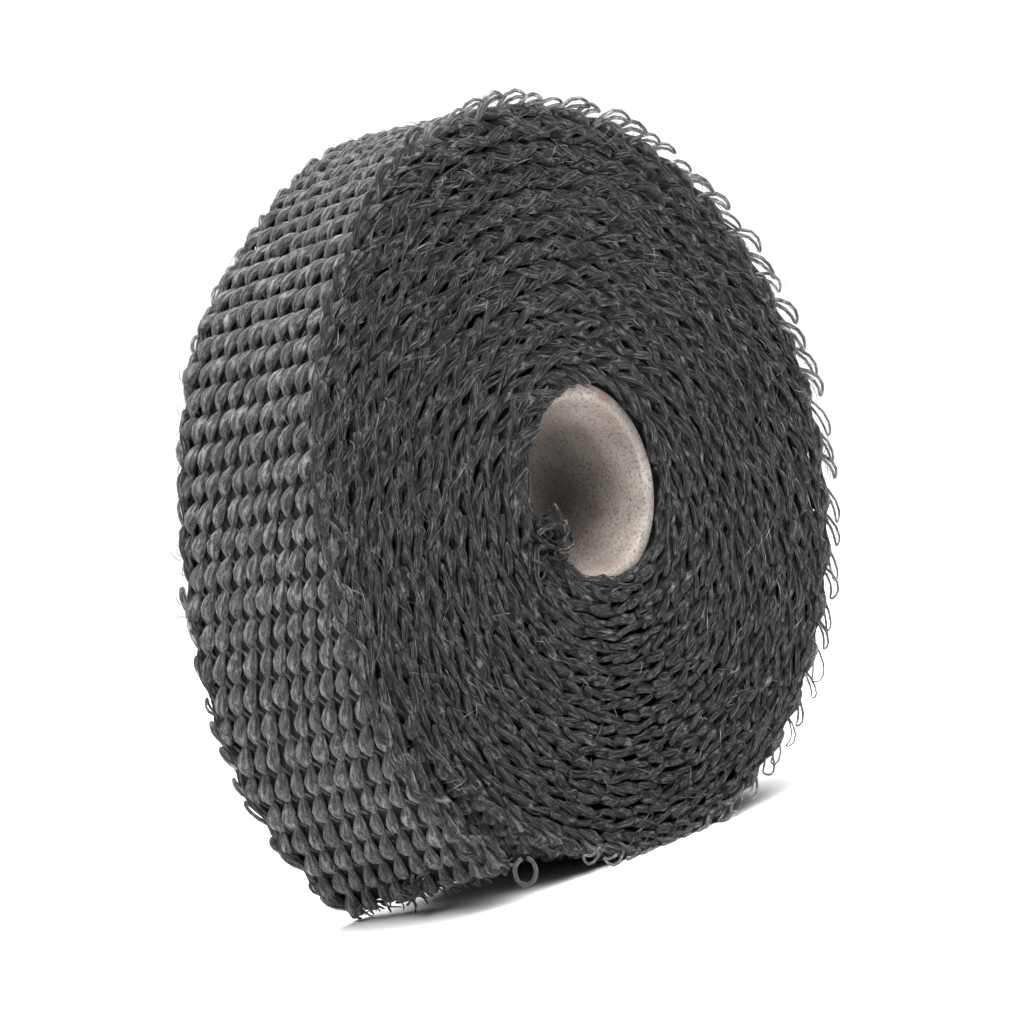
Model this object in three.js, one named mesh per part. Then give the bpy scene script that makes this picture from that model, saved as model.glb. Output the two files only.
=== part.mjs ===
// Roll of woven glass-fibre heat wrap: one long tape wound in a spiral on a cardboard tube.
// Millimetres, +Z up. The roll stands on its rim with its axis along Y, and its near end faces -Y.
// Angles are in degrees, counter-clockwise from +X as seen from the near end, so 270 is straight down.
import * as THREE from 'three';

// Cardboard tube
const coreBoreRadius = 11;
const coreWall = 2;
const coreRecess = 1.5;

// Woven tape
const tapeWidth = 25;
const turnPitch = 2.85;
const turns = 11.05;
const edgeGrooveDepth = 1.5;
const boreJogShare = 0.12;
const jogFadeTurns = 4;
const coreClearance = 0.35;

// Loose outer end of the tape
const tailEndAngle = 235;
const tailFreeAngle = 54;
const tailNearLift = 2.6;
const tailCurl = 1.05;

// Facets
const stepsPerTurn = 60;

const fullTurn = 360;
const quarterTurn = 90;
const stepAngle = fullTurn / stepsPerTurn;
const coreRadius = coreBoreRadius + coreWall;
const boreRadius = coreRadius + coreClearance;
const halfWidth = tapeWidth / 2;

// The tube ends a little inside the tape's edges.
const coreLength = tapeWidth - 2 * coreRecess;

// The tape is laid in steps, numbered from its inner end, 0, to its outer end. Its last turn may be a
// part turn.
const tapeSteps = Math.round(turns * stepsPerTurn);
const startAngle = tailEndAngle - tapeSteps * stepAngle;
const freeSteps = Math.round(tailFreeAngle / stepAngle);
const crotchStep = tapeSteps - freeSteps;
const outerSteps = tapeSteps + stepsPerTurn;

// How far through a turn's climb the tape is. The first turn lies round on the tube and steps over the
// tape's own end. Further out the step spreads until the turns are a plain spiral.
function climb(share, turn) {
  const jogStart = 1 - boreJogShare;
  const jog = THREE.MathUtils.smoothstep(share, jogStart, 1);
  const spread = Math.min(turn / jogFadeTurns, 1);
  return THREE.MathUtils.lerp(jog, share, spread);
}

// Radius of the face between one turn and the next at a step. A turn's inner face at a step is the outer
// face of the turn below it, one turn of steps earlier.
function faceRadius(step) {
  const turn = Math.floor(step / stepsPerTurn);
  const share = (step % stepsPerTurn) / stepsPerTurn;
  return boreRadius + turnPitch * (turn + climb(share, turn));
}

// How far a step is along the loose end, from 0 where it leaves the roll to 1 at the cut.
function freeShare(step) {
  return Math.max(step - crotchStep, 0) / freeSteps;
}

// Depth of the lowest outer face of the wound turns below the axis.
function rimDrop() {
  let drop = 0;
  for (let step = tapeSteps; step <= crotchStep + stepsPerTurn; step += 1) {
    const angle = THREE.MathUtils.degToRad(startAngle + step * stepAngle);
    drop = Math.max(drop, -faceRadius(step) * Math.sin(angle));
  }
  return drop;
}

// The far corner of the cut end rests on the same floor as the rim. The near corner hangs a little clear.
const tailDownCosine = -Math.sin(THREE.MathUtils.degToRad(tailEndAngle));
const tailFarLift = rimDrop() / tailDownCosine - faceRadius(outerSteps);

// A point of the near or far end, given its step, its radius when wound tight and its depth in from the
// tape's edge. side is -1 for the near end and 1 for the far end.
function edgePoint(step, radius, inset, side, loose) {
  const lift = side < 0 ? tailNearLift : tailFarLift;
  const liftedRadius = radius + (loose ? lift * freeShare(step) ** tailCurl : 0);
  const angle = THREE.MathUtils.degToRad(startAngle + step * stepAngle);
  const x = liftedRadius * Math.cos(angle);
  const z = liftedRadius * Math.sin(angle);
  return [x, side * (halfWidth - inset), z];
}

// The tape as one closed solid: a spiral of turns that touch, with a ridge for each turn's edge and a groove
// between two turns on both ends, and the loose end free of the turn below it.
function wrapTape() {
  const positions = [];
  const indices = [];
  const sides = [-1, 1];

  function addPair(step, radius, inset, loose) {
    const first = positions.length / 3;
    sides.forEach((side) => positions.push(...edgePoint(step, radius, inset, side, loose)));
    return first;
  }

  // Each entry is the index of a near point. Its far partner is the next index.
  const seams = [];
  const looseInner = [];
  const crests = [];
  for (let step = 0; step <= outerSteps; step += 1) {
    const looseOuter = step > crotchStep + stepsPerTurn;
    const tapeStep = looseOuter ? step - stepsPerTurn : step;
    seams.push(addPair(tapeStep, faceRadius(step), edgeGrooveDepth, looseOuter));
  }
  for (let step = 0; step <= tapeSteps; step += 1) {
    const loose = step > crotchStep;
    const middle = (faceRadius(step) + faceRadius(step + stepsPerTurn)) / 2;
    crests.push(addPair(step, middle, 0, loose));
    looseInner.push(loose ? addPair(step, faceRadius(step), edgeGrooveDepth, true) : seams[step]);
  }

  // Corners run counter-clockwise as seen from outside the solid.
  function addQuad(a, b, c, d) {
    indices.push(a, b, c, a, c, d);
  }

  // A strip of the end faces between two rows of points, the inner one first.
  function addEndStrip(inner, innerNext, outer, outerNext) {
    addQuad(inner, outer, outerNext, innerNext);
    addQuad(inner + 1, innerNext + 1, outerNext + 1, outer + 1);
  }

  // A wall from the near end to the far end that faces away from the axis.
  function addOuterWall(from, to) {
    addQuad(from, from + 1, to + 1, to);
  }

  function addInnerWall(from, to) {
    addQuad(from, to, to + 1, from + 1);
  }

  for (let step = 0; step < tapeSteps; step += 1) {
    const next = step + 1;
    const outer = step + stepsPerTurn;
    addEndStrip(looseInner[step], looseInner[next], crests[step], crests[next]);
    addEndStrip(crests[step], crests[next], seams[outer], seams[outer + 1]);
  }
  for (let step = 0; step < stepsPerTurn; step += 1) {
    addInnerWall(seams[step], seams[step + 1]);
  }
  for (let step = tapeSteps; step < outerSteps; step += 1) {
    addOuterWall(seams[step], seams[step + 1]);
  }
  for (let step = crotchStep; step < tapeSteps; step += 1) {
    addOuterWall(seams[step], seams[step + 1]);
    addInnerWall(looseInner[step], looseInner[step + 1]);
  }

  // The two cut ends of the tape. The outer one faces on round the turn, and the inner one faces back.
  function addCutEnd(inner, crest, outer, facesOn) {
    const faces = [
      [inner, outer, outer + 1],
      [inner, outer + 1, inner + 1],
      [inner, crest, outer],
      [inner + 1, outer + 1, crest + 1],
    ];
    faces.forEach(([a, b, c]) => indices.push(a, ...(facesOn ? [b, c] : [c, b])));
  }
  addCutEnd(seams[0], crests[0], seams[stepsPerTurn], false);
  addCutEnd(looseInner[tapeSteps], crests[tapeSteps], seams[outerSteps], true);

  const geometry = new THREE.BufferGeometry();
  geometry.setAttribute('position', new THREE.Float32BufferAttribute(positions, 3));
  geometry.setIndex(indices);
  geometry.computeVertexNormals();
  return geometry;
}

// The cardboard tube, turned about Y, with its facets in line with the tape's.
function coreTube() {
  const halfLength = coreLength / 2;
  const profile = [
    new THREE.Vector2(coreBoreRadius, -halfLength),
    new THREE.Vector2(coreRadius, -halfLength),
    new THREE.Vector2(coreRadius, halfLength),
    new THREE.Vector2(coreBoreRadius, halfLength),
    new THREE.Vector2(coreBoreRadius, -halfLength),
  ];
  return new THREE.LatheGeometry(profile, stepsPerTurn);
}

const wovenGlass = new THREE.MeshStandardMaterial({
  name: 'woven_glass',
  color: 0x2e2e2f,
  roughness: 0.8,
  metalness: 0,
});
const cardboard = new THREE.MeshStandardMaterial({
  name: 'cardboard',
  color: 0x8c7f76,
  roughness: 0.95,
  metalness: 0,
});

const wrap = new THREE.Mesh(wrapTape(), wovenGlass);
wrap.name = 'wrap_tape';

const core = new THREE.Mesh(coreTube(), cardboard);
core.name = 'core_tube';
core.rotation.y = THREE.MathUtils.degToRad(quarterTurn - startAngle);

// The origin is on the floor, under the middle of the roll.
const roll = new THREE.Group();
roll.add(wrap, core);
const box = new THREE.Box3().setFromObject(roll);
const middle = box.getCenter(new THREE.Vector3());
roll.position.set(-middle.x, -middle.y, -box.min.z);

export default roll;
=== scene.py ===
"""Roll of black woven glass-fibre heat wrap on a cardboard tube, standing on its rim.

Lengths are in millimetres until a mesh is made, and the roll's axis lies along Y. Angles run
counter-clockwise from +X as seen from the near end, which faces -Y. A place along the tape is given in
turns from its inner end. The random draws are seeded, so each run makes the same roll.
"""

import math

import bpy
import numpy as np
from mathutils import Matrix, Vector


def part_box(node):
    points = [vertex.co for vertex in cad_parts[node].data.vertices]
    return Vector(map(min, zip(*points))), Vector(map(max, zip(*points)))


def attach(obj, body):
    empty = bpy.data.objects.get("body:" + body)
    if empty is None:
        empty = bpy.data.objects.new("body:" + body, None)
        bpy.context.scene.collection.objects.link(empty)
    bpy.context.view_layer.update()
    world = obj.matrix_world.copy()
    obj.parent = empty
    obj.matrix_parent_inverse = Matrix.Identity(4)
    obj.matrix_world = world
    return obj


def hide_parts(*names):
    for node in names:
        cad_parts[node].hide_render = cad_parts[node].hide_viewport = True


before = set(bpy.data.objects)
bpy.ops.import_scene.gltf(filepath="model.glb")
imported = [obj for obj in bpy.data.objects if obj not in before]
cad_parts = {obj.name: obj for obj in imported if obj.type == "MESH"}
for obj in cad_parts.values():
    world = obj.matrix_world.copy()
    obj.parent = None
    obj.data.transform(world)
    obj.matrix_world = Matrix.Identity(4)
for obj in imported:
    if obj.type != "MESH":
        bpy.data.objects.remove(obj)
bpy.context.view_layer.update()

# The roll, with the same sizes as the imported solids
MM = 0.001
TAPE_LOW, TAPE_HIGH = (np.array(corner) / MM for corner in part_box("wrap_tape"))
CORE_LOW, CORE_HIGH = (np.array(corner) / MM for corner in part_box("core_tube"))
AXIS_X = (CORE_LOW[0] + CORE_HIGH[0]) / 2
AXIS_Z = (CORE_LOW[2] + CORE_HIGH[2]) / 2
HALF_WIDTH = (TAPE_HIGH[1] - TAPE_LOW[1]) / 2
CORE_RADIUS = 13.0
CORE_BORE_RADIUS = 11.0
BORE_RADIUS = 13.35
TURN_PITCH = 2.85
TURNS = 11.05
BORE_JOG_SHARE = 0.12
JOG_FADE_TURNS = 4
TAIL_END_ANGLE = 235.0
TAIL_FREE_TURNS = 54 / 360
TAIL_NEAR_LIFT = 2.6
TAIL_CURL = 1.05
START_ANGLE = TAIL_END_ANGLE - 360 * TURNS
CROTCH = TURNS - TAIL_FREE_TURNS
EXPOSED = CROTCH - 1

# Uneven winding: where an edge of the outer turns bulges or dips. Each row is the middle and the width in
# degrees, and the height. It grows from nothing at the core.
NEAR_BULGES = ((108, 28, 1.1), (216, 20, 1.2), (350, 48, 1.6))
NEAR_RISE = 0.3
FAR_BULGES = ((90, 17, 1.8), (127, 16, -1.5), (161, 13, -1.0), (213, 26, 1.3))
BULGE_GROWTH = 3

# Yarns that would reach the floor are pressed flat just above it
PRESS_START = 0.25
PRESS_SHARE = 0.12
PRESS_END = 0.02

# The under layer
BODY_STEPS = 90
BODY_CLEARANCE = 0.05
BODY_DROP = 1.15
BODY_RISE = 0.9
BODY_CORNER_INSET = 2.7
BODY_CREST_INSET = 1.7

# The weave. Warp yarns run along the tape and weft rows across it.
WARP_ENDS = 20
WARP_PITCH = 1.2
ROW_PITCH = 3.5
FLOAT_PERIOD = 2 * ROW_PITCH

# A warp yarn is thin where it dives under a row and swells into a float between two dives
DIVE_HALF_SIZE = 0.2
DIVE_HEIGHT = -1.9
FLOAT_HALF_WIDTH = 0.83
FLOAT_HALF_HEIGHT = 0.48
FLOAT_LIFT = 1.5
FLOAT_SLANT = 0.62
FLOAT_SWELL = 1.9
FLOAT_STEP = 0.1
FLOAT_ROWS = 512

# How much the floats differ in half width, half height, lift and place across the tape
FLOAT_SCATTER = (0.12, 0.08, 0.14, 0.1)

# The two edge yarns of a turn
EDGE_YARN_OFFSET = 0.72
EDGE_YARN_INSET = 1.1
EDGE_YARN_SWAY = 0.25

# A weft row's hairpin loop, drawn from one foot round its tip to the other foot: shares of its reach and of
# its half gap. It starts a little behind its row and below the tape's edge.
HAIRPIN_ALONG = np.array([0, 0.25, 0.5, 0.75, 0.9, 0.97, 1, 1, 0.97, 0.9, 0.75, 0.5, 0.25, 0])
HAIRPIN_ASIDE = np.array([0.7, 0.9, 1, 0.88, 0.66, 0.42, 0.16, -0.16, -0.42, -0.66, -0.88, -1, -0.9, -0.7])
LOOP_BACK = 0.7
LOOP_DEPTH = 0.95
LOOP_FOOT = 0.15
LOOP_BOW = 0.64
STRAND_FLATNESS = 0.85

# The tape's inner end, which hangs over the opening: radius, place sideways and number of yarns of a clump
INNER_END_ANGLE = math.radians(207)
INNER_END_CLUMPS = ((11.4, -1.5, 13), (10.4, 0.1, 14), (11.8, 1.5, 12))
STEP_OVER_RADIUS = 14.6

# Yarns that lie over the ends of the tube: first and last angle in degrees, and radius
TUBE_YARNS = ((0, 360, 13.5), (62, 325, 12.75), (78, 305, 12.0), (95, 290, 11.45))
TUBE_YARN_STEP = 4.0
TUBE_YARN_WAVES = 11
TUBE_YARN_ENDS = 1.3

# The cut outer end
FRAYED_YARNS = 110
TUFT_BACK = 0.013
TUFT_PLACE = -0.8
CORNER_LOOP_OFFSET = (0.9, -0.9, -0.2)
CORNER_LOOP_HALF_WIDTH = 1.25
CORNER_LOOP_HALF_HEIGHT = 1.55
CORNER_LOOP_THICKNESS = 0.27

# Painted shade: a darker patch deep in the bore, where little light reaches
BORE_SHADE_PLACE = (AXIS_X + CORE_BORE_RADIUS - 1, 4.0, AXIS_Z - 0.5)
BORE_SHADE_START = 3
BORE_SHADE_END = 12

# The camera, fitted to the photograph
VIEW_AZIMUTH = -48.0
VIEW_ELEVATION = 3.2
VIEW_ROLL = -12.3
VIEW_DISTANCE = 468.0
LENS = 132.0
SENSOR = 36.0
FRAME_PIXELS = 1024
CENTRE_PIXEL = (520.0, 497.0)


def smoothstep(value, low, high):
    share = np.clip((value - low) / (high - low), 0, 1)
    return share * share * (3 - 2 * share)


def face_radius(turn):
    """Radius of the tape's inner face. Its outer face is one turn further on."""
    whole = np.floor(turn)
    share = turn - whole
    jog = smoothstep(share, 1 - BORE_JOG_SHARE, 1)
    spread = np.clip(whole / JOG_FADE_TURNS, 0, 1)
    return BORE_RADIUS + TURN_PITCH * (whole + jog + (share - jog) * spread)


def middle_radius(turn):
    return (face_radius(turn) + face_radius(turn + 1)) / 2


TAIL_FAR_LIFT = AXIS_Z / -math.sin(math.radians(TAIL_END_ANGLE)) - float(face_radius(TURNS + 1))


def share_across(y):
    """0 at the tape's near edge and 1 at its far edge."""
    return np.clip((y + HALF_WIDTH) / (2 * HALF_WIDTH), 0, 1)


def tail_lift(turn, y):
    """How far the loose end stands off the roll. The far edge stands off more than the near one."""
    free = np.clip((turn - CROTCH) / TAIL_FREE_TURNS, 0, None) ** TAIL_CURL
    return free * (TAIL_NEAR_LIFT + (TAIL_FAR_LIFT - TAIL_NEAR_LIFT) * share_across(y))


def hump(angle, middle, width):
    """A smooth hump of height 1 round an angle in degrees."""
    away = (angle - middle + 180) % 360 - 180
    return np.exp(-(away / width) ** 2)


def unevenness(turn, y):
    """How far the outer turns stand out or in at each edge, because the tape is wound a little unevenly."""
    degrees = START_ANGLE + 360 * turn
    near = sum(height * hump(degrees, middle, width) for middle, width, height in NEAR_BULGES) + NEAR_RISE
    far = sum(height * hump(degrees, middle, width) for middle, width, height in FAR_BULGES)
    return (near + (far - near) * share_across(y)) * np.clip(turn / TURNS, 0, 1) ** BULGE_GROWTH


def place(turn, radius, y):
    """Points in space from the tape's own coordinates, kept above the floor."""
    angle = np.radians(START_ANGLE + 360 * turn)
    radius = radius + unevenness(turn, y)
    x = AXIS_X + radius * np.cos(angle)
    z = AXIS_Z + radius * np.sin(angle)
    z = np.where(z < PRESS_START, PRESS_START + PRESS_SHARE * (z - PRESS_START), z)
    return np.stack(np.broadcast_arrays(x, y, np.maximum(z, PRESS_END)), axis=-1)


def radial(turn):
    """Direction away from the axis."""
    angle = np.radians(START_ANGLE + 360 * turn)
    return np.stack([np.cos(angle), np.zeros_like(angle), np.sin(angle)], axis=-1)


def along_tape(turn):
    """Direction along the tape, towards its outer end."""
    angle = np.radians(START_ANGLE + 360 * turn)
    return np.stack([-np.sin(angle), np.zeros_like(angle), np.cos(angle)], axis=-1)


def unit(vectors):
    return vectors / np.maximum(np.linalg.norm(vectors, axis=-1, keepdims=True), 1e-9)


def along_axis(points, side):
    """Directions along the roll's axis, out of one end, for each point."""
    directions = np.zeros_like(points)
    directions[..., 1] = side
    return directions


def tape_travel():
    """Turn numbers close together, and the length of tape up to each of them."""
    turn = np.linspace(0, TURNS, 20001)
    travel = np.concatenate([[0], np.cumsum(2 * np.pi * middle_radius(turn)[1:] * np.diff(turn))])
    return turn, travel


def tubes(paths, half_widths, half_heights, ups, sides):
    """Rings of points round each path. Widths lie across the up direction and heights along it."""
    tangents = unit(np.gradient(paths, axis=1))
    across = unit(np.cross(tangents, ups))
    upright = np.cross(across, tangents)
    turn = 2 * np.pi * np.arange(sides) / sides - np.pi / 2
    wide = across[:, :, None, :] * (half_widths[..., None] * np.cos(turn))[..., None]
    high = upright[:, :, None, :] * (half_heights[..., None] * np.sin(turn))[..., None]
    return paths[:, :, None, :] + wide + high


def strand_object(name, groups, material):
    """One mesh of many closed strands. Each group is an array of strands, rings, sides and places."""
    rng = np.random.default_rng(len(name))
    points, corners, starts, uvs = [], [], [], []
    first = 0
    loops = 0
    for rings in groups:
        count, length, sides, _ = rings.shape
        index = first + np.arange(count * length * sides).reshape(count, length, sides)
        around = np.roll(index, -1, axis=2)
        quads = np.stack([index[:, :-1], index[:, 1:], around[:, 1:], around[:, :-1]], axis=-1)
        caps = np.concatenate([index[:, 0], index[:, -1, ::-1]])
        middle = rings.mean(axis=2)
        travel = np.linalg.norm(np.diff(middle, axis=1), axis=-1).cumsum(axis=1)
        along = np.concatenate([np.zeros((count, 1)), travel], axis=1) + rng.uniform(0, 900, (count, 1))
        u = np.broadcast_to(np.arange(sides) / sides, (count, length - 1, sides))
        low = np.broadcast_to(along[:, :-1, None], u.shape)
        high = np.broadcast_to(along[:, 1:, None], u.shape)
        step = 1 / sides
        quad_uv = np.stack([u, low, u, high, u + step, high, u + step, low], axis=-1).reshape(-1, 2)
        cap_uv = np.zeros((caps.size, 2))
        cap_uv[:, 1] = np.repeat(np.concatenate([along[:, 0], along[:, -1]]), sides)
        points.append(rings.reshape(-1, 3))
        corners += [quads.reshape(-1), caps.reshape(-1)]
        quad_total = quads.size // 4
        starts.append(loops + 4 * np.arange(quad_total))
        starts.append(loops + 4 * quad_total + sides * np.arange(len(caps)))
        uvs += [quad_uv, cap_uv]
        loops += quads.size + caps.size
        first += count * length * sides
    return mesh_object(name, np.concatenate(points), np.concatenate(corners), np.concatenate(starts),
                       np.concatenate(uvs), material)


def mesh_object(name, points, corners, starts, uvs, material):
    """A smooth mesh from its points, the point of each face corner and the first corner of each face."""
    mesh = bpy.data.meshes.new(name)
    mesh.vertices.add(len(points))
    points = points * MM
    points[:, 2] = np.maximum(points[:, 2], 0)
    mesh.vertices.foreach_set("co", points.astype(np.float32).ravel())
    mesh.loops.add(len(corners))
    mesh.loops.foreach_set("vertex_index", corners.astype(np.int32))
    mesh.polygons.add(len(starts))
    mesh.polygons.foreach_set("loop_start", starts.astype(np.int32))
    mesh.polygons.foreach_set("use_smooth", np.ones(len(starts), dtype=bool))
    layer = mesh.uv_layers.new(name="yarn")
    layer.data.foreach_set("uv", uvs.astype(np.float32).ravel())
    mesh.update(calc_edges=True)
    mesh.validate()
    mesh.materials.append(material)
    made = bpy.data.objects.new(name, mesh)
    bpy.context.scene.collection.objects.link(made)
    return made


def set_socket(tree, socket, value):
    if isinstance(value, bpy.types.NodeSocket):
        tree.links.new(value, socket)
    else:
        socket.default_value = value


def add_node(tree, kind, settings=None, **sockets):
    node = tree.nodes.new(kind)
    for key, value in (settings or {}).items():
        setattr(node, key, value)
    for key, value in sockets.items():
        set_socket(tree, node.inputs[key.replace("_", " ")], value)
    return node


def mix_values(tree, factor, first, second):
    """Blend two numbers. A Mix node's sockets go by number, with a set for each kind of data."""
    node = add_node(tree, "ShaderNodeMix", {"data_type": "FLOAT"})
    for number, value in ((0, factor), (2, first), (3, second)):
        set_socket(tree, node.inputs[number], value)
    return node.outputs[0]


def mix_colours(tree, blend_type, factor, first, second):
    node = add_node(tree, "ShaderNodeMix", {"data_type": "RGBA", "blend_type": blend_type})
    for number, value in ((0, factor), (6, first), (7, second)):
        set_socket(tree, node.inputs[number], value)
    return node.outputs[2]


def ramp(tree, factor, stops):
    node = add_node(tree, "ShaderNodeValToRGB", Fac=factor)
    elements = node.color_ramp.elements
    while len(elements) < len(stops):
        elements.new(0.5)
    for element, (position, colour) in zip(elements, stops):
        element.position = position
        element.color = (*colour, 1)
    return node.outputs["Color"]


def grey(value):
    return (value, value, value)


def noise(tree, where, scale, detail, **sockets):
    return add_node(tree, "ShaderNodeTexNoise", Vector=where, Scale=scale, Detail=detail,
                    **sockets).outputs["Fac"]


def strand_place(tree, scale, rotation=(0, 0, 0)):
    """Place on a strand: once round it and its length in millimetres, both scaled."""
    uv = add_node(tree, "ShaderNodeUVMap", {"uv_map": "yarn"}).outputs["UV"]
    return add_node(tree, "ShaderNodeMapping", Vector=uv, Rotation=rotation,
                    Scale=scale).outputs["Vector"]


def new_material(name, roughness, specular=0.5, sheen=0.0):
    material = bpy.data.materials.new(name)
    material.use_nodes = True
    tree = material.node_tree
    shader = tree.nodes["Principled BSDF"]
    shader.inputs["Roughness"].default_value = roughness
    shader.inputs["Specular IOR Level"].default_value = specular
    shader.inputs["Sheen Weight"].default_value = sheen
    return material, tree, shader


def dress(tree, shader, colour, height=None, strength=1.0, bump_mm=0.0):
    """Give a shader its colour, and a bump where there is one."""
    tree.links.new(colour, shader.inputs["Base Color"])
    if height is not None:
        bump = add_node(tree, "ShaderNodeBump", Height=height, Strength=strength, Distance=bump_mm * MM)
        tree.links.new(bump.outputs["Normal"], shader.inputs["Normal"])


def yarn_material(name, dark, light, plies, roughness, specular, sheen, bump_mm):
    """Glass yarn: plies that wind round the strand, fine filaments, and strands that differ in tone. The
    plies carry painted shade in their grooves and a painted highlight on their crests.
    """
    material, tree, shader = new_material(name, roughness, specular, sheen)
    ply_place = strand_place(tree, (1, 0.02, 1), rotation=(0, 0, 0.05))
    ply = add_node(tree, "ShaderNodeTexWave", {"bands_direction": "X"}, Vector=ply_place,
                   Scale=plies * math.pi / 10, Distortion=2.2, Detail=2.0, Detail_Scale=1.5).outputs["Fac"]
    fine = noise(tree, strand_place(tree, (plies * 1.4, 0.75, 1)), 1.0, 4.0, Roughness=0.65)
    slow = noise(tree, strand_place(tree, (1.2, 0.42, 1)), 1.0, 1.5)
    fine_share = add_node(tree, "ShaderNodeMapRange", Value=fine, From_Min=0.36, From_Max=0.64)
    height = mix_values(tree, 0.78, ply, fine_share.outputs["Result"])
    middle = tuple(a + (b - a) * 0.16 for a, b in zip(dark, light))
    # Painted shade in the ply grooves and painted highlight on the ply crests, following the bump height
    ply_shade_and_highlight = ramp(tree, height, [(0.25, dark), (0.5, middle), (0.78, light)])
    tone = ramp(tree, slow, [(0.33, grey(0.3)), (0.67, grey(1.4))])
    colour = mix_colours(tree, "MULTIPLY", 1.0, ply_shade_and_highlight, tone)
    dress(tree, shader, colour, height, bump_mm=bump_mm)
    return material


def painted_shade_body_material():
    """The tape's under layer between the yarns, rough and nearly black: painted shade where it shows between
    them.
    """
    material, tree, shader = new_material("under_layer", 0.85, 0.3)
    at = add_node(tree, "ShaderNodeTexCoord").outputs["Object"]
    grain = noise(tree, at, 1500.0, 3.0)
    colour = ramp(tree, grain, [(0.35, grey(0.004)), (0.7, (0.016, 0.016, 0.017))])
    dress(tree, shader, colour, grain, strength=0.8, bump_mm=0.3)
    return material


def cardboard_material():
    """Grey-brown recycled board with dark, pale and reddish specks, and painted shade deep in the bore."""
    material, tree, shader = new_material("cardboard", 0.92, 0.25)
    at = add_node(tree, "ShaderNodeTexCoord").outputs["Object"]
    cloud = noise(tree, at, 140.0, 4.0)
    base = ramp(tree, cloud, [(0.3, (0.12, 0.106, 0.095)), (0.55, (0.19, 0.17, 0.154)),
                              (0.75, (0.26, 0.237, 0.217))])
    specks = ramp(tree, noise(tree, at, 2600.0, 3.0),
                  [(0.33, (0.35, 0.32, 0.3)), (0.42, grey(0.92)), (0.64, grey(1.25))])
    specked = mix_colours(tree, "MULTIPLY", 0.75, base, specks)
    red_share = ramp(tree, noise(tree, at, 260.0, 3.0), [(0.57, grey(0.0)), (0.76, grey(0.55))])
    reddened = mix_colours(tree, "MIX", red_share, specked, (0.2, 0.085, 0.08, 1))
    # Painted shade: the board is darkened towards a point deep in the bore and brightened away from it
    away = add_node(tree, "ShaderNodeVectorMath", {"operation": "DISTANCE"})
    tree.links.new(at, away.inputs[0])
    away.inputs[1].default_value = Vector(BORE_SHADE_PLACE) * MM
    bore_shade_share = add_node(tree, "ShaderNodeMapRange", Value=away.outputs["Value"], From_Min=BORE_SHADE_START * MM,
                     From_Max=BORE_SHADE_END * MM)
    painted_bore_shade = ramp(tree, bore_shade_share.outputs["Result"], [(0.0, (0.3, 0.29, 0.28)), (0.5, (0.6, 0.59, 0.58)),
                                                 (1.0, (1.25, 1.24, 1.22))])
    colour = mix_colours(tree, "MULTIPLY", 1.0, reddened, painted_bore_shade)
    dress(tree, shader, colour, cloud, strength=0.5, bump_mm=0.25)
    return material


def hair_material():
    """Broken glass filaments, most of them dark and a few pale, and shiny."""
    material, tree, shader = new_material("loose_filament", 0.35, 0.6)
    slow = noise(tree, strand_place(tree, (0.5, 0.3, 1)), 1.0, 1.0)
    dress(tree, shader, ramp(tree, slow, [(0.35, (0.025, 0.025, 0.026)), (0.6, (0.07, 0.07, 0.072)),
                                          (0.72, grey(0.28))]))
    return material


def tape_body(material):
    """The closed spiral layer that the yarns lie on. It is lower where a face is bare of other turns."""
    turn = np.arange(0, TURNS + 1e-6, 1 / BODY_STEPS)
    bare_outside = smoothstep(turn, EXPOSED - 0.04, EXPOSED)
    bare_inside = smoothstep(turn, CROTCH, CROTCH + 0.02)
    inner = face_radius(turn) + (BODY_CLEARANCE + BODY_RISE * bare_inside)
    outer = face_radius(turn + 1) - (BODY_CLEARANCE + (BODY_DROP - BODY_CLEARANCE) * bare_outside)
    middle = (inner + outer) / 2
    corner, crest = HALF_WIDTH - BODY_CORNER_INSET, HALF_WIDTH - BODY_CREST_INSET
    outline = [(outer, 0), (outer, -corner), (middle, -crest), (inner, -corner),
               (inner, 0), (inner, corner), (middle, crest), (outer, corner)]
    rings = [place(turn, radius + tail_lift(turn, np.full_like(turn, y)), np.full_like(turn, y))
             for radius, y in outline]
    return strand_object("tape_under_layer", [np.stack(rings, axis=1)[None]], material)


def warp_strand(end, first, last, inner, rng):
    """One warp end: a flat yarn that swells into a leaf-shaped float over every other weft row."""
    mean_radius = float(face_radius((first + last) / 2 + 1))
    periods = (last - first) * 2 * math.pi * mean_radius / FLOAT_PERIOD
    steps = np.arange(0, periods, FLOAT_STEP)
    steps = steps + 0.012 * np.sin(2 * np.pi * steps * 2)
    phase = steps + 0.5 * (end % 2) + (0.5 if inner else 0.0)
    turn = first + (last - first) * steps / periods
    lifted = 0.5 + 0.5 * np.cos(2 * np.pi * phase)
    row = np.round(phase * 2).astype(int) % FLOAT_ROWS
    wobble = rng.normal(0, 1, (len(FLOAT_SCATTER), FLOAT_ROWS))
    wider, thicker, higher, aside = (share * wobble[n, row] for n, share in enumerate(FLOAT_SCATTER))
    swell = lifted ** FLOAT_SWELL
    half_width = DIVE_HALF_SIZE + swell * (FLOAT_HALF_WIDTH + wider)
    half_height = DIVE_HALF_SIZE + swell * (FLOAT_HALF_HEIGHT + thicker)
    height = DIVE_HEIGHT + lifted ** 0.85 * (FLOAT_LIFT + higher)
    y = (end - (WARP_ENDS - 1) / 2) * WARP_PITCH + FLOAT_SLANT * np.sin(2 * np.pi * phase) + aside
    radius = face_radius(turn) - height if inner else face_radius(turn + 1) + height
    path = place(turn, radius + tail_lift(turn, y), y)
    up = radial(turn) * (-1 if inner else 1)
    return tubes(path[None], half_width[None], half_height[None], up[None], 8)


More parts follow.
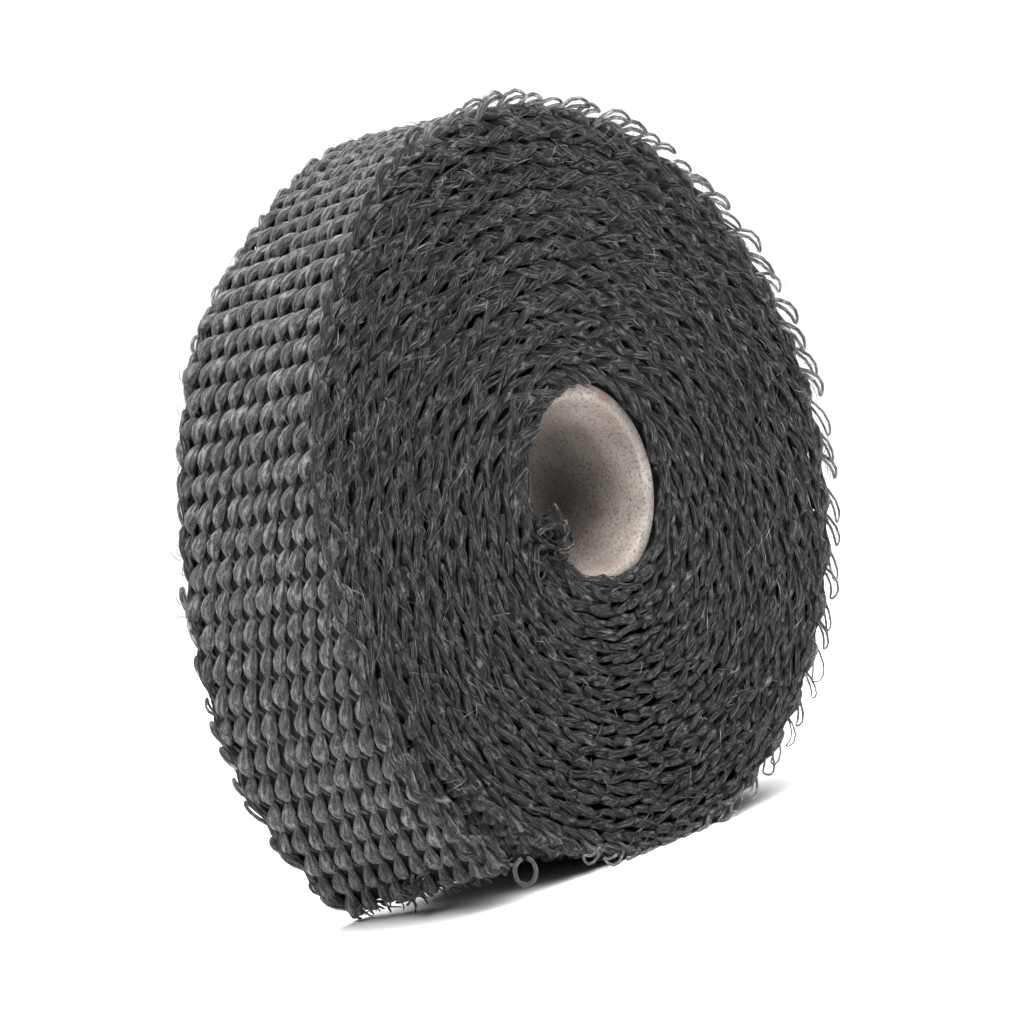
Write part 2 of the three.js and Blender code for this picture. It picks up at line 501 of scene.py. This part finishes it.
def warp_yarns(material):
    """The warp yarns on the outside of the last turn, and those on the inside of the loose end."""
    rng = np.random.default_rng(11)
    last = TURNS - 0.001
    faces = [warp_strand(end, EXPOSED - 0.02, last, False, rng) for end in range(WARP_ENDS)]
    under = [warp_strand(end, CROTCH - 0.02, last, True, rng) for end in range(WARP_ENDS)]
    return strand_object("warp_floats", faces, material), strand_object("tail_underside", under, material)


def edge_yarns(side, label, material):
    """The two outermost yarns of every turn, seen between the loops on one end of the roll."""
    rng = np.random.default_rng(67 + (side > 0))
    fine_turn, travel = tape_travel()
    groups = []
    for strand, offset in enumerate((-EDGE_YARN_OFFSET, EDGE_YARN_OFFSET)):
        places = np.arange(0, travel[-1], ROW_PITCH / 5)
        turn = np.interp(places, travel, fine_turn)
        phase = 2 * np.pi * (places / FLOAT_PERIOD + strand / 2)
        lifted = 0.5 + 0.5 * np.cos(phase)
        y = side * (HALF_WIDTH - EDGE_YARN_INSET + 0.5 * lifted + rng.normal(0, 0.06, len(turn)))
        radius = middle_radius(turn) + offset + EDGE_YARN_SWAY * np.sin(phase)
        path = place(turn, radius + tail_lift(turn, y), y)
        half_width = 0.5 + 0.3 * lifted + rng.normal(0, 0.04, len(turn))
        half_height = 0.45 + 0.15 * lifted
        groups.append(tubes(path[None], half_width[None], half_height[None],
                            along_axis(path, side)[None], 6))
    return strand_object(f"{label}_edge_yarns", groups, material)


def row_places(first, last, rng):
    """Turn numbers of the weft rows between two places, a row pitch apart along the tape."""
    fine_turn, travel = tape_travel()
    rows = np.arange(ROW_PITCH / 2, travel[-1], ROW_PITCH)
    rows = rows + rng.normal(0, 0.18, len(rows))
    turn = np.interp(rows, travel, fine_turn)
    return turn[(turn >= first) & (turn < last)]


def edge_loops(turn, side, arm, reach, spread, gap, thickness, rise, rng, sides=6, hug=False):
    """The hairpin loops of the weft rows at one edge. arm is 1 for the outward arms and -1 for the inward
    ones. The loops point clockwise as seen from the near end, so that each row makes a V. Loops that hug the
    rim bow over it and come back."""
    count = len(turn)

    def vary(amount):
        return 1 + rng.normal(0, amount, (count, 1))

    reach, spread, gap, thickness, rise = (np.broadcast_to(value, turn.shape).reshape(-1, 1)
                                           for value in (reach, spread, gap, thickness, rise))
    along = HAIRPIN_ALONG[None]
    aside = HAIRPIN_ASIDE[None]
    middle = middle_radius(turn)
    forward = -LOOP_BACK + rng.normal(0, 0.2, (count, 1)) + (reach * vary(0.12)) * along
    bend = np.exp(rng.normal(0.0, 0.14, (count, 1)))
    course = np.sin(LOOP_BOW * np.pi * along) if hug else along ** bend
    belly = np.sin(np.pi * along)
    splay = LOOP_FOOT + spread * vary(0.14) * course
    splay = splay + rng.normal(0.1, 0.13, (count, 1)) * belly
    out = -LOOP_DEPTH + (LOOP_DEPTH + rise * vary(0.25)) * along ** 0.75
    out = out + rng.normal(0, 0.12, (count, 1)) * along
    out = out + rng.normal(0.1, 0.15, (count, 1)) * belly
    tilt = rng.normal(0.1, 0.22, (count, 1))
    open_gap = gap * vary(0.2) * aside * (0.5 + 0.5 * along)
    slope = np.arctan2(spread, reach)
    forward = forward - open_gap * np.cos(tilt) * np.sin(slope)
    splay = splay + open_gap * np.cos(tilt) * np.cos(slope)
    out = out + open_gap * np.sin(tilt)
    base = turn[:, None]
    y = side * (HALF_WIDTH + out)
    radius = middle[:, None] + arm * splay + tail_lift(base, y)
    path = place(base - forward / (2 * np.pi * middle[:, None]), radius, y)
    half = thickness * vary(0.12) * (1.05 - 0.3 * along)
    return tubes(path, half, half * STRAND_FLATNESS, along_axis(path, side), sides)


def edge_chains(side, label, material, rim_painted_backlight_material):
    """All V-shaped rows of loops on one end of the roll, and the open loops along the rim. The rows splay
    and rise more on the upper half of the roll. The innermost ones reach over the end of the tube."""
    rng = np.random.default_rng(23 + (side > 0))
    turn = row_places(0.02, TURNS - 0.004, rng)
    last = turn > TURNS - 1.0
    angle = np.radians(START_ANGLE + 360 * turn)
    upward = np.sin(angle)
    splay = 1.3 + 0.5 * upward
    over_tube = np.where(turn < 1, 0.4 + 0.7 * hump(np.degrees(angle), 190, 75), 0.0)
    reach = 4.3 - 0.5 * upward
    gap = 0.29 + 0.05 * upward
    thickness = 0.325 + 0.05 * upward
    rise = 0.3 + 0.15 * upward

    def rows(where, arm, spread, thicker=0.0):
        return edge_loops(turn[where], side, arm, reach[where], spread[where], gap[where],
                          thickness[where] + thicker, rise[where], rng)

    inner = [rows(~last, 1, splay), rows(~last, -1, splay + over_tube), rows(last, -1, splay * 1.1, 0.02)]
    if side < 0:
        band_side = last & (np.cos(angle) < -0.35)
        open_side = last & ~band_side
        inner.append(edge_loops(turn[band_side], side, 1, reach=3.9, spread=1.9, gap=0.36, thickness=0.36,
                                rise=0.2, rng=rng, hug=True))
        height = upward[open_side]
        rim = edge_loops(turn[open_side], side, 1, reach=4.5, spread=1.95 + 0.25 * height,
                         gap=0.62 - 0.08 * height, thickness=0.25 + 0.06 * height, rise=0.3, rng=rng,
                         sides=7, hug=True)
    else:
        rim = edge_loops(turn[last], side, 1, reach=3.6, spread=0.9, gap=0.3, thickness=0.33, rise=-0.3,
                         rng=rng, sides=7, hug=True)
    # The rim loops take the paler yarn copy, as painted backlight
    return (strand_object(f"{label}_edge_chains", inner, material),
            strand_object(f"{label}_rim_loops", [rim], rim_painted_backlight_material))


def curls(centre, count, length, thickness, loose, rng):
    """Short curled yarn ends round a point."""
    share = np.linspace(0, 1, 9)
    heading = unit(rng.normal(0, 1, (count, 3)))
    aside = unit(np.cross(heading, rng.normal(0, 1, (count, 3))))
    swing = share * rng.uniform(1.2, 4.2, (count, 1))
    size = length * rng.uniform(0.25, 0.6, (count, 1, 1))
    paths = size * (heading[:, None] * np.sin(swing)[..., None]
                    + aside[:, None] * (1 - np.cos(swing))[..., None])
    paths = paths - paths.mean(axis=1, keepdims=True) + rng.normal(0, loose, (count, 1, 3)) + centre
    half = thickness * rng.uniform(0.7, 1.3, (count, 1)) * (1 - 0.5 * share)
    up = np.repeat(np.cross(heading, aside)[:, None], len(share), axis=1)
    return tubes(paths, half, half, up, 6)


def inner_end_point(radius, aside, y):
    """A point near the tape's inner end."""
    cos, sin = math.cos(INNER_END_ANGLE), math.sin(INNER_END_ANGLE)
    return np.array([AXIS_X + radius * cos - aside * sin, y, AXIS_Z + radius * sin + aside * cos])


def tube_yarn(side, first, final, radius, rng):
    """One wavy yarn that lies over an end of the tube. Its ends turn outwards, unless it goes all round."""
    degrees = np.arange(first, final + 1, TUBE_YARN_STEP)
    share = np.linspace(0, 1, len(degrees))
    ends = 0.0 if final - first == 360 else TUBE_YARN_ENDS
    wave = np.radians(degrees * TUBE_YARN_WAVES + radius * 90)
    reach = radius + ends * (np.abs(2 * share - 1) ** 6) + 0.22 * np.sin(wave)
    reach = reach + rng.normal(0, 0.1, len(degrees))
    y = side * (HALF_WIDTH - 0.95 + 0.25 * np.cos(wave))
    angle = np.radians(degrees)
    path = np.stack([AXIS_X + reach * np.cos(angle), y, AXIS_Z + reach * np.sin(angle)], axis=-1)[None]
    half = 0.46 + 0.1 * np.sin(np.radians(degrees * TUBE_YARN_WAVES)) + rng.normal(0, 0.04, len(degrees))
    return tubes(path, half[None], half[None] * STRAND_FLATNESS, along_axis(path, side), 6)


def inner_end_yarns(material):
    """The edge yarns that lie over the ends of the tube, those where the first turn steps over the tape's
    end, and the tape's inner end, which hangs a little way over the opening at the near end."""
    rng = np.random.default_rng(71)
    groups = [curls(inner_end_point(radius, aside, -HALF_WIDTH + 0.6), count, 5.2, 0.33, 0.5, rng)
              for radius, aside, count in INNER_END_CLUMPS]
    for side in (-1, 1):
        step_over = inner_end_point(STEP_OVER_RADIUS, 0.0, side * (HALF_WIDTH - 1.3))
        groups.append(curls(step_over, 22, 4.4, 0.42, 0.55, rng))
        groups += [tube_yarn(side, first, final, radius, rng) for first, final, radius in TUBE_YARNS]
    return strand_object("inner_end_yarns", groups, material)


def frayed_yarns(rng):
    """Short broken yarns along the cut outer end."""
    turn = np.full(FRAYED_YARNS, TURNS - 0.002)
    y = rng.uniform(-HALF_WIDTH + 0.3, HALF_WIDTH - 0.3, FRAYED_YARNS)
    radius = face_radius(turn) + rng.uniform(0.5, 2.4, FRAYED_YARNS) + tail_lift(turn, y)
    heading = unit(along_tape(turn) + rng.normal(0, 0.3, (FRAYED_YARNS, 3)))
    share = np.linspace(0, 1, 5)
    length = rng.uniform(0.7, 2.0, (FRAYED_YARNS, 1, 1))
    bend = rng.normal(0, 0.25, (FRAYED_YARNS, 1, 3))
    paths = (place(turn, radius, y)[:, None] + length * heading[:, None] * share[None, :, None]
             + length * bend * (share ** 2)[None, :, None])
    half = rng.uniform(0.08, 0.2, (FRAYED_YARNS, 1)) * np.array([1, 1, 0.95, 0.85, 0.6])
    return tubes(paths, half, half, np.repeat(radial(turn)[:, None], len(share), axis=1), 5)


def outer_face_point(turn, y, rise):
    """A point on the outer face of the loose end, or a little above it."""
    turn, y = np.array([turn]), np.array([y])
    return place(turn, face_radius(turn + 1) + rise + tail_lift(turn, y), y)[0]


def corner_loop():
    """One open loop of yarn that hangs at the near corner of the cut end."""
    swing = np.radians(np.linspace(100, 430, 23))
    corner = outer_face_point(TURNS, -HALF_WIDTH, -0.6)
    ring = (corner + np.array(CORNER_LOOP_OFFSET)
            + CORNER_LOOP_HALF_WIDTH * np.cos(swing)[:, None] * np.array([0.67, -0.74, 0])
            + CORNER_LOOP_HALF_HEIGHT * np.sin(swing)[:, None] * np.array([0.1, 0.0, 1.0]))
    half = np.full((1, len(swing)), CORNER_LOOP_THICKNESS)
    facing = np.broadcast_to(np.array([-0.74, -0.67, 0.0]), (1, len(swing), 3))
    return tubes(ring[None], half, half, facing, 8)


def cut_end_yarns(material):
    """Frayed yarns along the cut outer end, a crumpled tuft on it and one open loop at its near corner."""
    rng = np.random.default_rng(83)
    frayed = frayed_yarns(rng)
    tuft = curls(outer_face_point(TURNS - TUFT_BACK, TUFT_PLACE, 0.1), 34, 3.0, 0.15, 0.75, rng)
    return strand_object("cut_end_yarns", [frayed, tuft, corner_loop()], material)


def filaments(name, turn, radius, y, heading, length, rise, thickness, material, rng):
    """Loose filaments. heading is the direction along the tape and out of the surface that each starts in,
    and every one bends a little on its way."""
    count = len(turn)
    share = np.linspace(0, 1, 5)
    start = place(turn, radius, y)
    bend = rng.normal(0, 0.18, (count, 3))
    travel = heading * length[:, None]
    paths = (start[:, None, :] + travel[:, None, :] * share[None, :, None]
             + (bend * length[:, None])[:, None, :] * (share ** 2)[None, :, None]
             + rise[:, None, :] * np.sin(np.pi * share)[None, :, None])
    half = thickness * np.repeat(np.array([[1.0, 1.0, 0.9, 0.75, 0.4]]), count, axis=0)
    up = np.zeros_like(paths)
    up[..., 1] = 1
    up[..., 2] = 0.3
    return strand_object(name, [tubes(paths, half, half, up, 3)], material)


def face_fuzz(side, label, count, material):
    """Filaments that stray over one end of the roll."""
    rng = np.random.default_rng(41 + (side > 0))
    turn = TURNS * np.sqrt(rng.uniform(0.03, 0.99, count))
    radius = middle_radius(turn) + rng.normal(0, 0.9, count)
    y = side * (HALF_WIDTH + rng.uniform(0.1, 0.9, count))
    slant = rng.normal(0, 0.6, (count, 1))
    sense = np.where(rng.uniform(0, 1, (count, 1)) < 0.8, -1, 1)
    heading = unit(sense * along_tape(turn) + slant * radial(turn) + [0, side * 0.12, 0])
    longest = 3.6 if side < 0 else 1.8
    length = np.minimum(rng.gamma(2.5, 0.8, count) + 0.8, longest)
    rise = np.zeros((count, 3))
    rise[:, 1] = side * rng.uniform(0.1, 0.6, count)
    return filaments(f"{label}_face_filaments", turn, radius, y, heading, length, rise, 0.045, material, rng)


def band_fuzz(count, material):
    """Short filaments that stand a little off the outside of the roll."""
    rng = np.random.default_rng(53)
    turn = rng.uniform(EXPOSED, TURNS, count)
    y = rng.uniform(-HALF_WIDTH, HALF_WIDTH, count)
    radius = face_radius(turn + 1) + tail_lift(turn, y) + rng.uniform(-0.3, 0.1, count)
    across = np.zeros((count, 3))
    across[:, 1] = rng.normal(0, 0.5, count)
    sense = rng.choice([-1.0, 1.0], (count, 1))
    heading = unit(sense * along_tape(turn) + across + rng.uniform(0, 0.2, (count, 1)) * radial(turn))
    length = np.minimum(rng.gamma(2.5, 0.45, count) + 0.5, 2.0)
    rise = radial(turn) * rng.uniform(0.0, 0.35, (count, 1))
    return filaments("band_filaments", turn, radius, y, heading, length, rise, 0.04, material, rng)


def core_tube(material):
    """The cardboard tube, smooth and a little soft at its edges."""
    sides = 144
    end = (CORE_HIGH[1] - CORE_LOW[1]) / 2
    soft = 0.2
    profile = [(CORE_RADIUS, -end + soft), (CORE_RADIUS - soft, -end), (CORE_BORE_RADIUS + soft, -end),
               (CORE_BORE_RADIUS, -end + soft), (CORE_BORE_RADIUS, 0), (CORE_BORE_RADIUS, end - soft),
               (CORE_BORE_RADIUS + soft, end), (CORE_RADIUS - soft, end), (CORE_RADIUS, end - soft),
               (CORE_RADIUS, 0)]
    rings = len(profile)
    angle = 2 * np.pi * np.arange(sides) / sides
    radius = np.array([r for r, _ in profile])
    y = np.array([y for _, y in profile])
    points = np.stack(np.broadcast_arrays(AXIS_X + radius[:, None] * np.cos(angle), y[:, None],
                                          AXIS_Z + radius[:, None] * np.sin(angle)), axis=-1)
    index = np.arange(rings * sides).reshape(rings, sides)
    following = np.roll(index, -1, axis=0)
    quads = np.stack([index, np.roll(index, -1, axis=1), np.roll(following, -1, axis=1), following], axis=-1)
    corners = quads.reshape(-1)
    flat = points.reshape(-1, 3)
    uvs = flat[corners][:, [0, 2]]
    return mesh_object("cardboard_tube", flat, corners, 4 * np.arange(len(corners) // 4), uvs, material)


def make_camera():
    """A camera at the photograph's angle, turned and set aside so that the roll's middle is at its pixel."""
    azimuth, elevation, roll = (math.radians(v) for v in (VIEW_AZIMUTH, VIEW_ELEVATION, VIEW_ROLL))
    back = Vector((math.sin(azimuth) * math.cos(elevation), -math.cos(azimuth) * math.cos(elevation),
                   math.sin(elevation)))
    level = Vector((math.cos(azimuth), math.sin(azimuth), 0))
    right = level * math.cos(roll) + back.cross(level) * math.sin(roll)
    up = back.cross(right)
    pixel = VIEW_DISTANCE * SENSOR / LENS / FRAME_PIXELS
    right_shift = (CENTRE_PIXEL[0] - FRAME_PIXELS / 2) * pixel
    up_shift = (FRAME_PIXELS / 2 - CENTRE_PIXEL[1]) * pixel
    centre = Vector((AXIS_X, 0, AXIS_Z))
    data = bpy.data.cameras.new("camera")
    data.lens = LENS
    data.sensor_width = SENSOR
    camera = bpy.data.objects.new("camera", data)
    turned = Matrix((right, up, back)).transposed().to_4x4()
    where = centre + back * VIEW_DISTANCE - right * right_shift - up * up_shift
    camera.matrix_world = Matrix.Translation(where * MM) @ turned
    bpy.context.scene.collection.objects.link(camera)
    bpy.context.scene.camera = camera


def area_light(name, where, size, power):
    """A square white light that points at the roll. Its place and size are in metres."""
    data = bpy.data.lights.new(name, "AREA")
    data.size = size
    data.energy = power
    lamp = bpy.data.objects.new(name, data)
    target = Vector((0, 0, AXIS_Z * MM))
    lamp.location = Vector(where)
    lamp.rotation_euler = (target - lamp.location).to_track_quat("-Z", "Y").to_euler()
    bpy.context.scene.collection.objects.link(lamp)


def make_floor():
    bpy.ops.mesh.primitive_circle_add(vertices=96, radius=0.6, fill_type="NGON", location=(0, 0, 0))
    floor = bpy.context.object
    floor.name = "floor"
    material, tree, shader = new_material("pale_floor", 0.9, 0.1)
    at = add_node(tree, "ShaderNodeTexCoord").outputs["Object"]
    dress(tree, shader, ramp(tree, noise(tree, at, 60.0, 2.0), [(0.3, grey(0.9)), (0.7, grey(0.93))]))
    floor.data.materials.append(material)


def make_room():
    """A white room that gives a faint light all round, a little less from the far side."""
    world = bpy.data.worlds.new("white_room")
    world.use_nodes = True
    tree = world.node_tree
    background = tree.nodes["Background"]
    background.inputs["Color"].default_value = (1, 1, 1, 1)
    seen = add_node(tree, "ShaderNodeLightPath").outputs["Is Camera Ray"]
    direction = add_node(tree, "ShaderNodeTexCoord").outputs["Generated"]
    depth = add_node(tree, "ShaderNodeSeparateXYZ", Vector=direction).outputs["Y"]
    room = add_node(tree, "ShaderNodeMapRange", Value=depth, From_Min=-0.4, From_Max=0.5, To_Min=0.12,
                    To_Max=0.05).outputs["Result"]
    tree.links.new(mix_values(tree, seen, room, 1.1), background.inputs["Strength"])
    bpy.context.scene.world = world


def make_studio():
    """A pale floor, a large soft light above, a faint one at the left and a white room."""
    make_floor()
    area_light("top_light", (-0.1, -0.15, 1.1), size=1.9, power=86)
    area_light("left_light", (-1.0, -0.7, 0.45), size=0.7, power=0.2)
    make_room()
    bpy.context.scene.view_settings.view_transform = "Standard"


def keep(piece, slot_name, *nodes):
    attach(piece, "root")
    if nodes:
        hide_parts(*nodes)


make_camera()
make_studio()

band_yarn = yarn_material("band_yarn", dark=(0.003, 0.003, 0.0033), light=(0.15, 0.15, 0.154), plies=7.0,
                          roughness=0.45, specular=0.3, sheen=0.2, bump_mm=0.55)
edge_yarn = yarn_material("edge_yarn", dark=(0.0025, 0.0025, 0.0028), light=(0.105, 0.105, 0.109), plies=5.0,
                          roughness=0.5, specular=0.2, sheen=0.03, bump_mm=0.4)
# A paler copy of the same yarn for the rim loops: painted backlight
rim_yarn_painted_backlight = yarn_material("rim_yarn_painted_backlight", dark=(0.01, 0.01, 0.011), light=(0.26, 0.26, 0.265), plies=4.0,
                         roughness=0.4, specular=0.4, sheen=0.2, bump_mm=0.15)
hair = hair_material()

keep(tape_body(painted_shade_body_material()), "woven_glass", "wrap_tape")
for piece in warp_yarns(band_yarn):
    keep(piece, "woven_glass")
for side, label in ((-1, "near"), (1, "far")):
    for piece in edge_chains(side, label, edge_yarn, rim_yarn_painted_backlight):
        keep(piece, "woven_glass")
    keep(edge_yarns(side, label, edge_yarn), "woven_glass")
    keep(face_fuzz(side, label, 900, hair), "woven_glass")
keep(band_fuzz(600, hair), "woven_glass")
keep(inner_end_yarns(edge_yarn), "woven_glass")
keep(cut_end_yarns(band_yarn), "woven_glass")
keep(core_tube(cardboard_material()), "cardboard", "core_tube")
